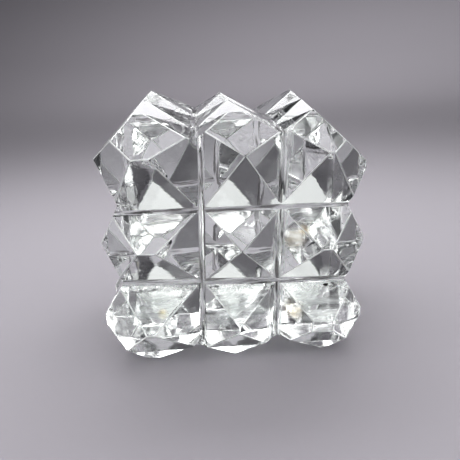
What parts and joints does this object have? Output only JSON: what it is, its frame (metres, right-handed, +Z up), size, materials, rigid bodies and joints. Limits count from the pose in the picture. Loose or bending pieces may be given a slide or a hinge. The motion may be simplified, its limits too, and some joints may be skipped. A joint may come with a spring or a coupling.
{
  "type": "faceted quartz crystal cube",
  "caption": "Clear quartz cut as a cube: every face is a grid of low pyramid points with V-grooves between them, and the edges are bevelled; an ornament that stands on its bottom points.",
  "frame": {"origin": "middle of the footprint box, on the surface the stone stands on", "axes": "+Z up, front face towards -Y, +X to the right seen from the front"},
  "size_m": [0.04, 0.038, 0.0387],
  "materials": {
    "clear_quartz": "polished clear quartz with frosted groove bottoms"
  },
  "bodies": {
    "root": {"quartz_crystal": "clear_quartz"}
  },
  "joints": []
}
